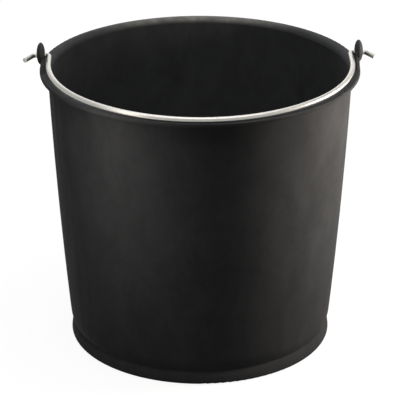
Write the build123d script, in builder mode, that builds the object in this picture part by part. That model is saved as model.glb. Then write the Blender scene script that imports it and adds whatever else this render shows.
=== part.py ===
from build123d import *
from math import acos, asin, cos, degrees, hypot, sin, sqrt
import os

# A plain black plastic bucket with a steel wire bail, in millimetres.
# The origin is the centre of the foot ring on the floor, +Z is up, the ears lie on X,
# and the bail is folded down to the front, which is -Y.

# Driving dimensions of the rim and the wall
rim_height = 267.0
rim_radius = 148.0
flange_width = 7.3  # how far the flange stands out from the wall
flange_thickness = 3.4
flange_edge_round = 0.9
flange_root_round = 2.0  # where the flange's underside meets the wall
lip_round = 5.0  # where the inside of the wall turns out onto the flange
wall_thickness = 2.6
wall_bow = 1.5  # swell of the wall past a straight line at mid-height

# Driving dimensions of the foot ring and the base
foot_radius = 124.2
foot_height = 13.0
foot_flare = 2.6  # how far the foot ring spreads from the groove down to the floor
foot_bulge = 1.0  # swell of the foot ring past a straight line
foot_edge_round = 3.0
foot_wall = 6.0
groove_round = 1.2
wall_step = 0.8  # how far the wall stands out past the foot ring
draw_in_height = 12.0  # the stretch where the wall curves in to the foot ring
base_lift = 5.0  # from the floor to the underside of the base
base_thickness = 3.0

# Driving dimensions of the ears
pin_lift = 12.0  # from the rim up to the line of the ear holes
eye_setback = 1.4  # from the outside of the rim in to the eye's middle
eye_radius = 10.2
eye_thickness = 7.8
eye_rise = 1.6  # from the line of the holes up to the middle of the eye
tab_setback = 4.8  # from the outside of the rim in to the tab's inner face
tab_radius = 5.6  # small enough to end inside the eye
tab_thickness = 3.6
tab_edge_round = 1.0
tab_foot_width = 34.0

# Driving dimensions of the bail
wire_diameter = 4.5
pin_clearance = 0.5  # between the wire and the ear hole, all round
rest_gap = 0.3  # between the folded bail and the flange
rest_inset = 3.5  # from the outside of the rim in to the folded bail
bail_leg = 19.0  # straight stretch beside each ear
pin_bend_inside = 1.25  # inside radius of the bend from the leg to the pin
pin_bend_gap = 0.3  # from the start of that bend to the eye's inner side
hook_gap = 0.4  # from the eye's outer side to the hook's bend
hook_bend_inside = 2.0
hook_turn = 57.0
hook_length = 12.0  # straight end past the hook's bend
wire_end_chamfer = 0.4

# Sizes and places that follow from the ones above
wire_radius = wire_diameter / 2
hole_radius = wire_radius + pin_clearance
wall_top_radius = rim_radius - flange_width
wall_top_height = rim_height - flange_thickness
wall_foot_radius = foot_radius + wall_step
wall_foot_height = foot_height + draw_in_height
groove_radius = foot_radius - foot_flare
floor_height = base_lift + base_thickness
mouth_radius = wall_top_radius - wall_thickness
pin_height = rim_height + pin_lift
tab_face = rim_radius - tab_setback
tab_drop = pin_lift + flange_thickness / 2  # the tab runs half-way into the flange
tab_plane = Plane(origin=(tab_face, 0, pin_height), x_dir=(0, 1, 0), z_dir=(1, 0, 0))
eye_middle = rim_radius - eye_setback
eye_plane = Plane(origin=(eye_middle, 0, pin_height + eye_rise), x_dir=(1, 0, 0), z_dir=(0, -1, 0))


def bowed(start, end, bow):
    """The middle of a line of the section, pushed out by its bow."""
    return ((start[0] + end[0]) / 2 + bow, (start[1] + end[1]) / 2)


# One ear: a thin tab on the flange, and the thick rounded eye that holds the bail's hole
with BuildPart() as ear:
    with BuildSketch(tab_plane):
        with Locations((0, eye_rise)):
            Circle(tab_radius)
        with Locations((0, -tab_drop)):
            Rectangle(tab_foot_width, flange_thickness / 2, align=(Align.CENTER, Align.MIN))
        make_hull()
    extrude(amount=tab_thickness)
    fillet(ear.faces().filter_by(Axis.X).edges(), min(tab_edge_round, 0.45 * tab_thickness))
    with BuildSketch(eye_plane):
        Ellipse(eye_thickness / 2, eye_radius)
        Rectangle(eye_thickness, eye_radius, align=(Align.CENTER, Align.MAX), mode=Mode.SUBTRACT)
    revolve(axis=Axis(eye_plane.origin, eye_plane.x_dir))
    with BuildSketch(tab_plane):
        Circle(hole_radius)
    extrude(amount=eye_thickness, both=True, mode=Mode.SUBTRACT)

# The bucket, one moulding: a turned section with an ear on each side of the rim
with BuildPart() as shell:
    with BuildSketch(Plane.XZ) as section:
        foot_edge = (foot_radius, 0)
        groove = (groove_radius, foot_height)
        wall_foot = (wall_foot_radius, wall_foot_height)
        wall_top = (wall_top_radius, wall_top_height)
        flange_under = (rim_radius, wall_top_height)
        flange_over = (rim_radius, rim_height)
        mouth = (mouth_radius, rim_height)
        inside_foot = (wall_foot_radius - wall_thickness, wall_foot_height)
        foot_inside = foot_radius - foot_wall
        edge_round = min(flange_edge_round, 0.45 * flange_thickness)
        with BuildLine():
            ThreePointArc(foot_edge, bowed(foot_edge, groove, foot_bulge), groove)
            wall = ThreePointArc(wall_foot, bowed(wall_foot, wall_top, wall_bow), wall_top)
            TangentArc(wall_foot, groove, tangent=-(wall % 0))
            Polyline(wall_top, flange_under, flange_over, mouth)
            inside = ThreePointArc(mouth, bowed(mouth, inside_foot, wall_bow), inside_foot)
            inward = -(inside % 1).X  # sine of the angle that the inside leans in by at its foot
            floor_round = (wall_foot_height - floor_height) / (1 - inward)
            floor_curve = JernArc(inside_foot, inside % 1, floor_round, -degrees(acos(inward)))
            Polyline(floor_curve @ 1, (0, floor_height), (0, base_lift), (foot_inside, base_lift))
            Polyline((foot_inside, base_lift), (foot_inside, 0), foot_edge)
        make_face()
        for corner, radius in (
            (foot_edge, foot_edge_round),
            (groove, groove_round),
            (wall_top, flange_root_round),
            (flange_under, edge_round),
            (flange_over, edge_round),
            (mouth, lip_round),
        ):
            fillet(section.vertices().sort_by_distance(corner)[0], radius)
    revolve(axis=Axis.Z)
    add(ear.part)
    mirror(ear.part, about=Plane.YZ)

# The bail, one wire in a plane that slopes down from the ear holes to the front of the rim
rest_drop = pin_lift - wire_radius - rest_gap
bail_depth = hypot(rim_radius - rest_inset, rest_drop)
bail_slope = asin(rest_drop / bail_depth)
bail_plane = Plane(
    origin=(0, 0, pin_height),
    x_dir=(1, 0, 0),
    z_dir=(0, sin(bail_slope), -cos(bail_slope)),
)
pin_bend_radius = pin_bend_inside + wire_radius
hook_bend_radius = hook_bend_inside + wire_radius
leg_offset = eye_middle - eye_thickness / 2 - pin_bend_gap - pin_bend_radius
hook_start = eye_middle + eye_thickness / 2 + hook_gap

# Each half of the bail is half the front arc and a tighter shoulder arc, an eighth of a turn each
eighth_turn = 45.0
shoulder_radius = (bail_depth - bail_leg - (sqrt(2) - 1) * leg_offset) / (2 - sqrt(2))
front_radius = sqrt(2) * leg_offset - (sqrt(2) - 1) * shoulder_radius

with BuildPart() as bail:
    with BuildLine(bail_plane):
        front = JernArc((0, bail_depth), (1, 0), front_radius, -eighth_turn)
        shoulder = JernArc(front @ 1, front % 1, shoulder_radius, -eighth_turn)
        leg = Line(shoulder @ 1, (leg_offset, pin_bend_radius))
        pin_bend = JernArc(leg @ 1, leg % 1, pin_bend_radius, 90)
        pin = Line(pin_bend @ 1, (hook_start, 0))
        hook_bend = JernArc(pin @ 1, pin % 1, hook_bend_radius, hook_turn)
        Line(hook_bend @ 1, hook_bend @ 1 + (hook_bend % 1) * hook_length)
    with BuildSketch(Plane(origin=front @ 0, z_dir=front % 0)):
        Circle(wire_radius)
    sweep()
    mirror(about=Plane.YZ)
    chamfer(bail.faces().filter_by(GeomType.PLANE).edges(), wire_end_chamfer)

os.makedirs("parts", exist_ok=True)
shell.part.label = "shell"
export_step(shell.part, "parts/shell.step")
bail.part.label = "bail"
export_step(bail.part, "parts/bail.step")

print("bail slope at rest, degrees:", round(degrees(bail_slope), 3))
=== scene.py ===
import math

import bpy
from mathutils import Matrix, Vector

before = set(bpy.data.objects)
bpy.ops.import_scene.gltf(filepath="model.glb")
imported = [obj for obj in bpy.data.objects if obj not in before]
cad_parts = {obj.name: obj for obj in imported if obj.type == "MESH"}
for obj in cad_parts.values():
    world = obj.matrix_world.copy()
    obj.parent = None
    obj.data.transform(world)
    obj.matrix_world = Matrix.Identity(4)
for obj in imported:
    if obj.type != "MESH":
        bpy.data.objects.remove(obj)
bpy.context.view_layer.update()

# A matt black moulded bucket with a bright wire bail, dressed in its CAD frame, in metres and degrees.
MM = 0.001

# Places in the CAD model that the materials follow
RIM_HEIGHT = 267 * MM
BAIL_SLOPE = 3.742  # how far the folded bail's plane dips towards the front

# Marks on the plastic
CLOUD_WIDTH = 30 * MM
CLOUD_WIDTH_TO_HEIGHT = 0.7
STREAK_WIDTH = 7 * MM
STREAK_WIDTH_TO_LENGTH = 0.04
STREAK_DEPTH = 0.15 * MM
GRAIN_WIDTH = 1.5 * MM  # about 0.2 mm on the real one, drawn coarser here so that it shows
GRAIN_DEPTH = 0.15 * MM

# Shares of the marks in the plastic's tone, which together come to a half on average
CLOUD_LOW = -0.35
CLOUD_HIGH = 0.65
STREAK_SHARE = 0.4
GRAIN_SHARE = 0.3

# Rubbed places under the plastic's foot, and a painted sheen along the back of its rim
FOOT_RUB_HEIGHT = 2 * MM
FOOT_RUB = 0.6
RIM_SHEEN_REACH = 4 * MM  # how far the painted sheen reaches above and below the rim
RIM_SHEEN_FULL = 1 * MM
BACK_SHEEN_START = 105 * MM  # the painted sheen starts this far from the bucket's axis towards the back
BACK_SHEEN_FULL = 142 * MM

# Marks on the wire
PLATING_CLOUD_WIDTH = 9 * MM
LINE_SPACING = 0.8 * MM  # about 0.1 mm on the real one, drawn coarser here so that the lines show
LINE_LENGTH_TO_SPACING = 50.0
LINE_DEPTH = 0.05 * MM

# Nearly all of a noise texture's values lie between these
NOISE_LOW = 0.3
NOISE_HIGH = 0.7

# A Mix node has the same names for its number and colour sockets, so they go by their places
MIX_FACTOR = 0
MIX_FIRST_COLOUR = 6
MIX_SECOND_COLOUR = 7
MIXED_COLOUR = 2

# The studio
LAMP_AIM = Vector((0, 0, 160 * MM))
WHITE_CARD_POWER = math.pi ** 2  # watts with which a lamp a metre away makes a white card just show as white
FLOOR_SIZE = 12.0
FLOOR_GLOW = 0.91  # a little under white, so that the bucket's shadow shows
SURROUND_GLOW = 0.91  # the same, so that the floor's far edge does not show

# The photograph's camera, fitted to the outlines of the rim, the wall and the foot
VIEW_AZIMUTH = -1.6
VIEW_ELEVATION = 23.43
VIEW_DISTANCE = 1958 * MM
VIEW_TARGET = Vector((0, 0, 131.9 * MM))
IMAGE_PIXELS = 400
FOCAL_PIXELS = 2059
SENSOR_WIDTH = 36.0  # in millimetres, as Blender has it


def linear(hex_colour):
    """An sRGB hex colour as a linear RGBA value."""
    channels = [int(hex_colour[i:i + 2], 16) / 255 for i in (1, 3, 5)]
    return tuple(c / 12.92 if c <= 0.04045 else ((c + 0.055) / 1.055) ** 2.4 for c in channels) + (1.0,)


def add_node(tree, kind, inputs, **settings):
    """Adds a node, gives it its settings, and sets or links each of its inputs."""
    made = tree.nodes.new(kind)
    for name, value in settings.items():
        setattr(made, name, value)
    for socket, value in inputs.items():
        if isinstance(value, bpy.types.NodeSocket):
            tree.links.new(value, made.inputs[socket])
        else:
            made.inputs[socket].default_value = value
    return made


def new_material(name):
    """An empty node material, its tree and its output node."""
    material = bpy.data.materials.new(name)
    material.use_nodes = True
    material.node_tree.nodes.clear()
    output = material.node_tree.nodes.new("ShaderNodeOutputMaterial")
    return material, material.node_tree, output


def moulding_marks(tree, place):
    """The plastic's soft clouds, its upright streaks and its fine grain."""
    drawn_up = add_node(
        tree, "ShaderNodeMapping",
        {"Vector": place, "Scale": (1.0, 1.0, CLOUD_WIDTH_TO_HEIGHT)},
    ).outputs["Vector"]
    cloud_noise = add_node(
        tree, "ShaderNodeTexNoise",
        {"Vector": drawn_up, "Scale": 1 / CLOUD_WIDTH, "Detail": 5.0, "Roughness": 0.7, "Distortion": 0.4},
    ).outputs["Fac"]
    clouds = add_node(
        tree, "ShaderNodeMapRange",
        {
            "Value": cloud_noise,
            "From Min": NOISE_LOW, "From Max": NOISE_HIGH,
            "To Min": CLOUD_LOW, "To Max": CLOUD_HIGH,
        },
    ).outputs["Result"]
    upright = add_node(
        tree, "ShaderNodeMapping",
        {"Vector": place, "Scale": (1.0, 1.0, STREAK_WIDTH_TO_LENGTH)},
    ).outputs["Vector"]
    streaks = add_node(
        tree, "ShaderNodeTexNoise",
        {"Vector": upright, "Scale": 1 / STREAK_WIDTH, "Detail": 3.0, "Roughness": 0.55},
    ).outputs["Fac"]
    grain = add_node(
        tree, "ShaderNodeTexNoise",
        {"Vector": place, "Scale": 1 / GRAIN_WIDTH, "Detail": 2.0, "Roughness": 0.5},
    ).outputs["Fac"]
    return clouds, streaks, grain


def rubbing_and_rim_sheen(tree, place):
    """How much the plastic is paler: a painted sheen, fully at the back of the rim, and rubbing, less, under
    the foot; not elsewhere.
    """
    axes = add_node(tree, "ShaderNodeSeparateXYZ", {"Vector": place}).outputs
    under_foot = add_node(
        tree, "ShaderNodeMapRange",
        {"Value": axes["Z"], "From Min": FOOT_RUB_HEIGHT, "From Max": 0.0, "To Min": 0.0, "To Max": FOOT_RUB},
    ).outputs["Result"]
    # The band along the rim's back is a painted sheen, the reflection of the bright background; only the
    # foot's share is rubbing
    above_rim = add_node(
        tree, "ShaderNodeMath",
        {0: axes["Z"], 1: RIM_HEIGHT},
        operation="SUBTRACT",
    ).outputs["Value"]
    off_rim = add_node(tree, "ShaderNodeMath", {0: above_rim}, operation="ABSOLUTE").outputs["Value"]
    at_rim = add_node(
        tree, "ShaderNodeMapRange",
        {"Value": off_rim, "From Min": RIM_SHEEN_REACH, "From Max": RIM_SHEEN_FULL},
    ).outputs["Result"]
    at_back = add_node(
        tree, "ShaderNodeMapRange",
        {"Value": axes["Y"], "From Min": BACK_SHEEN_START, "From Max": BACK_SHEEN_FULL},
    ).outputs["Result"]
    return add_node(
        tree, "ShaderNodeMath",
        {0: at_rim, 1: at_back, 2: under_foot},
        operation="MULTIPLY_ADD",
    ).outputs["Value"]


def moulded_black_polyethylene():
    """Polyethylene coloured with carbon black and injection moulded.

    It is a matt near-black with a broad weak sheen. Where the melt cooled unevenly it is faintly cloudy,
    where it slid out of the mould it has faint upright streaks, and it is rubbed paler in patches under
    the foot. A paler painted sheen, the reflection of the bright background, lies along the back of the rim.
    """
    material, tree, output = new_material("moulded_black_polyethylene")
    place = add_node(tree, "ShaderNodeTexCoord", {}).outputs["Object"]
    clouds, streaks, grain = moulding_marks(tree, place)
    streaky = add_node(
        tree, "ShaderNodeMath",
        {0: streaks, 1: STREAK_SHARE, 2: clouds},
        operation="MULTIPLY_ADD",
    ).outputs["Value"]
    mottle = add_node(
        tree, "ShaderNodeMath",
        {0: grain, 1: GRAIN_SHARE, 2: streaky},
        operation="MULTIPLY_ADD",
    ).outputs["Value"]
    moulded_tone = add_node(
        tree, "ShaderNodeMix",
        {MIX_FACTOR: mottle, MIX_FIRST_COLOUR: linear("#3b3c3d"), MIX_SECOND_COLOUR: linear("#48494a")},
        data_type="RGBA",
    ).outputs[MIXED_COLOUR]
    # The pale colour below is rubbing under the foot and a painted sheen along the back of the rim
    rubbed_and_sheen_patches = add_node(
        tree, "ShaderNodeMath",
        {0: rubbing_and_rim_sheen(tree, place), 1: streaks},
        operation="MULTIPLY",
    ).outputs["Value"]
    tone = add_node(
        tree, "ShaderNodeMix",
        {MIX_FACTOR: rubbed_and_sheen_patches, MIX_FIRST_COLOUR: moulded_tone, MIX_SECOND_COLOUR: linear("#96938d")},
        data_type="RGBA",
    ).outputs[MIXED_COLOUR]
    roughness = add_node(
        tree, "ShaderNodeMapRange",
        {"Value": streaks, "From Min": NOISE_LOW, "From Max": NOISE_HIGH, "To Min": 0.74, "To Max": 0.86},
    ).outputs["Result"]
    streaks_bump = add_node(
        tree, "ShaderNodeBump",
        {"Height": streaks, "Strength": 0.2, "Distance": STREAK_DEPTH},
    ).outputs["Normal"]
    bump = add_node(
        tree, "ShaderNodeBump",
        {"Height": grain, "Strength": 0.5, "Distance": GRAIN_DEPTH, "Normal": streaks_bump},
    ).outputs["Normal"]
    shader = add_node(
        tree, "ShaderNodeBsdfPrincipled",
        {"Base Color": tone, "Roughness": roughness, "Normal": bump, "IOR": 1.5, "Specular IOR Level": 0.06},
    )
    tree.links.new(shader.outputs["BSDF"], output.inputs["Surface"])
    return material


def drawn_zinc_plated_wire():
    """Steel wire drawn through a die and zinc-plated.

    It is a pale metal with a soft shine, faintly clouded by the plating, with fine drawing lines along it.
    """
    material, tree, output = new_material("drawn_zinc_plated_wire")
    place = add_node(tree, "ShaderNodeTexCoord", {}).outputs["Object"]
    clouds = add_node(
        tree, "ShaderNodeTexNoise",
        {"Vector": place, "Scale": 1 / PLATING_CLOUD_WIDTH, "Detail": 3.0, "Roughness": 0.6},
    ).outputs["Fac"]
    # The bail lies in one plane, so marks drawn out in that plane run along the wire
    in_bail_plane = add_node(
        tree, "ShaderNodeMapping",
        {
            "Vector": place,
            "Rotation": (math.radians(BAIL_SLOPE), 0.0, 0.0),
            "Scale": (LINE_LENGTH_TO_SPACING, LINE_LENGTH_TO_SPACING, 1.0),
        },
        vector_type="TEXTURE",
    ).outputs["Vector"]
    lines = add_node(
        tree, "ShaderNodeTexNoise",
        {"Vector": in_bail_plane, "Scale": 1 / LINE_SPACING, "Detail": 2.0, "Roughness": 0.5},
    ).outputs["Fac"]
    tone = add_node(
        tree, "ShaderNodeMix",
        {MIX_FACTOR: clouds, MIX_FIRST_COLOUR: linear("#a6a49f"), MIX_SECOND_COLOUR: linear("#b8b6b0")},
        data_type="RGBA",
    ).outputs[MIXED_COLOUR]
    roughness = add_node(
        tree, "ShaderNodeMapRange",
        {"Value": lines, "From Min": NOISE_LOW, "From Max": NOISE_HIGH, "To Min": 0.38, "To Max": 0.48},
    ).outputs["Result"]
    bump = add_node(
        tree, "ShaderNodeBump",
        {"Height": lines, "Strength": 0.15, "Distance": LINE_DEPTH},
    ).outputs["Normal"]
    shader = add_node(
        tree, "ShaderNodeBsdfPrincipled",
        {"Base Color": tone, "Metallic": 1.0, "Roughness": roughness, "Normal": bump},
    )
    tree.links.new(shader.outputs["BSDF"], output.inputs["Surface"])
    return material


def dress(node_name, material):
    """Puts one material in every slot of a CAD node."""
    for material_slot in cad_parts[node_name].material_slots:
        material_slot.material = material


def glow_when_seen(tree, strength):
    """The strength where it is seen, also in a reflection or through glass, and 0 as light on a surface."""
    path = add_node(tree, "ShaderNodeLightPath", {}).outputs
    direct_or_glossy = add_node(
        tree, "ShaderNodeMath",
        {0: path["Is Camera Ray"], 1: path["Is Glossy Ray"]},
        operation="ADD",
    ).outputs["Value"]
    seen = add_node(
        tree, "ShaderNodeMath",
        {0: direct_or_glossy, 1: path["Is Transmission Ray"]},
        operation="ADD",
    ).outputs["Value"]
    return add_node(tree, "ShaderNodeMath", {0: seen, 1: strength}, operation="MULTIPLY").outputs["Value"]


def lay_floor():
    """A plain floor that shows as white, with the bucket's faint soft shadow on it."""
    bpy.ops.object.select_all(action="DESELECT")
    bpy.ops.mesh.primitive_plane_add(size=FLOOR_SIZE)
    floor = bpy.context.object
    floor.name = "studio_floor"
    material, tree, output = new_material("white_floor")
    glow = glow_when_seen(tree, FLOOR_GLOW)
    white = add_node(tree, "ShaderNodeEmission", {"Color": linear("#ffffff"), "Strength": glow})
    lit = add_node(tree, "ShaderNodeBsdfDiffuse", {"Color": linear("#707070")})
    both = add_node(tree, "ShaderNodeAddShader", {0: white.outputs["Emission"], 1: lit.outputs["BSDF"]})
    tree.links.new(both.outputs["Shader"], output.inputs["Surface"])
    floor.data.materials.append(material)


def hang_lamp(name, azimuth, reach, height, wide, tall, level, colour):
    """A softbox aimed at the bucket. At level 1 a white card on the bucket's axis just shows as white."""
    around = math.radians(azimuth)
    place = Vector((math.sin(around) * reach, -math.cos(around) * reach, height))
    direction = place - LAMP_AIM
    data = bpy.data.lights.new(name, "AREA")
    data.shape = "RECTANGLE"
    data.size = wide
    data.size_y = tall
    data.color = linear(colour)[:3]
    data.energy = level * WHITE_CARD_POWER * direction.length_squared
    lamp = bpy.data.objects.new(name, data)
    lamp.location = place
    lamp.rotation_euler = direction.to_track_quat("Z", "Y").to_euler()
    bpy.context.scene.collection.objects.link(lamp)


def light_studio():
    """Large softboxes above and behind, small ones close at the front left and the right, a pale surround."""
    hang_lamp(
        "top_softbox", azimuth=0, reach=0.1, height=1.5,
        wide=1.2, tall=1.2, level=0.75, colour="#ffffff",
    )
    hang_lamp(
        "back_softbox", azimuth=180, reach=1.5, height=0.8,
        wide=2.4, tall=0.8, level=0.35, colour="#ffffff",
    )
    hang_lamp(
        "left_softbox", azimuth=-35, reach=0.22, height=0.23,
        wide=0.04, tall=0.26, level=0.17, colour="#fff8f2",
    )
    hang_lamp(
        "right_softbox", azimuth=78, reach=0.35, height=0.255,
        wide=0.12, tall=0.12, level=0.98, colour="#fff4ea",
    )
    world = bpy.data.worlds.new("pale_surround")
    world.use_nodes = True
    tree = world.node_tree
    background = tree.nodes["Background"]
    background.inputs["Color"].default_value = linear("#ffffff")
    tree.links.new(glow_when_seen(tree, SURROUND_GLOW), background.inputs["Strength"])
    bpy.context.scene.world = world


def set_camera():
    """The photograph's camera."""
    data = bpy.data.cameras.new("photo_camera")
    data.sensor_width = SENSOR_WIDTH
    data.lens = FOCAL_PIXELS / IMAGE_PIXELS * SENSOR_WIDTH
    camera = bpy.data.objects.new("photo_camera", data)
    around = math.radians(VIEW_AZIMUTH)
    above = math.radians(VIEW_ELEVATION)
    direction = Vector((
        math.sin(around) * math.cos(above),
        -math.cos(around) * math.cos(above),
        math.sin(above),
    ))
    camera.location = VIEW_TARGET + VIEW_DISTANCE * direction
    camera.rotation_euler = direction.to_track_quat("Z", "Y").to_euler()
    bpy.context.scene.collection.objects.link(camera)
    bpy.context.scene.camera = camera


dress("shell", moulded_black_polyethylene())
dress("bail", drawn_zinc_plated_wire())
lay_floor()
light_studio()
set_camera()
bpy.context.scene.view_settings.view_transform = "Standard"
